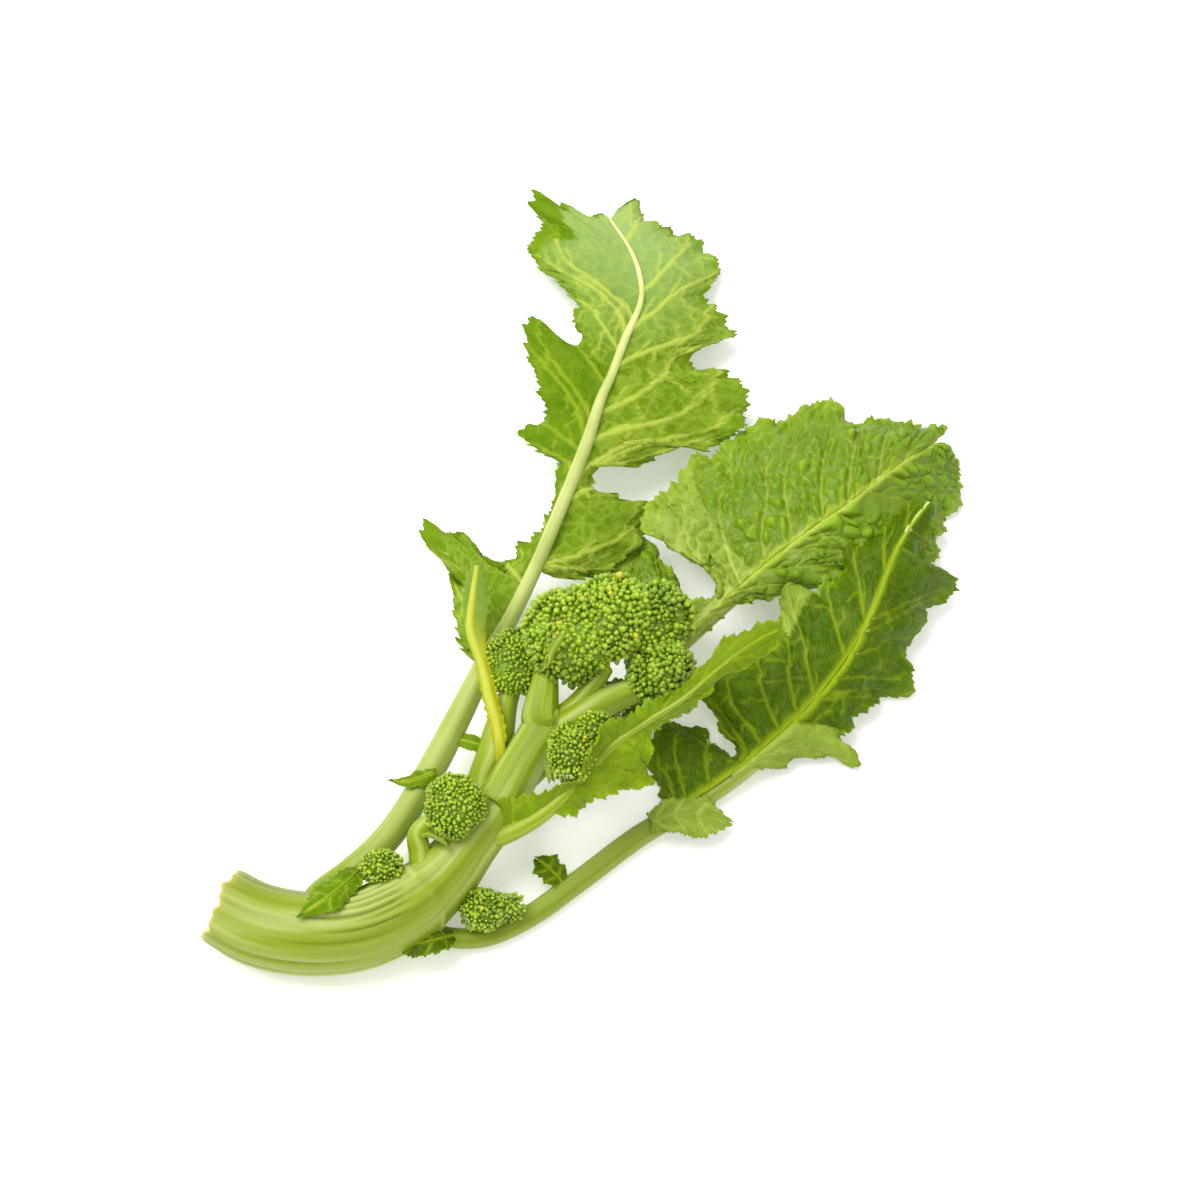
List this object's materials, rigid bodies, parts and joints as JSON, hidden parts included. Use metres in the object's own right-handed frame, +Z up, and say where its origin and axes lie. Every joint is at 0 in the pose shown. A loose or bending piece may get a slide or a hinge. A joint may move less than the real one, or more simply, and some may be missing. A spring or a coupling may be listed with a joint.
{
  "type": "broccoli rabe sprig",
  "caption": "Cut sprig of leafy greens lying on its side: thick ribbed stem, forked head of closed flower buds, small side shoots and large lobed, toothed leaves.",
  "frame": {"origin": "centre of the bottom of the whole sprig's box, on the surface it lies on", "axes": "+Z up from the surface, +Y along the longest extent towards the tip of the tall leaf, +X to the right with the cut stem end at -X"},
  "size_m": [0.2254, 0.265, 0.0487],
  "materials": {
    "stem": "satin",
    "stalk": "satin",
    "buds": "satin",
    "leaf_upper": "satin",
    "leaf_under": "matte",
    "leaf_young": "satin",
    "yellow_leaf": "satin"
  },
  "bodies": {
    "root": {"main_stem": "stem", "head_stalk_left": "stalk", "head_stalk_right": "stalk", "left_shoot_stalk": "stalk", "short_shoot_stalk": "stalk", "crown_florets_left": "buds", "crown_florets_centre": "buds", "crown_florets_right_upper": "buds", "crown_florets_right_lower": "buds", "crown_bract": "yellow_leaf", "left_shoot_florets": "buds", "short_shoot_florets": "buds", "short_shoot_bract": "yellow_leaf", "front_shoot_florets": "buds", "front_shoot_bract": "yellow_leaf", "axil_florets_tall_leaf": "buds", "axil_florets_long_leaf": "buds", "tall_leaf": "leaf_under", "broad_leaf": "leaf_upper", "long_leaf": "leaf_upper", "front_leaf": "leaf_young", "yellow_leaf": "yellow_leaf"}
  },
  "joints": []
}
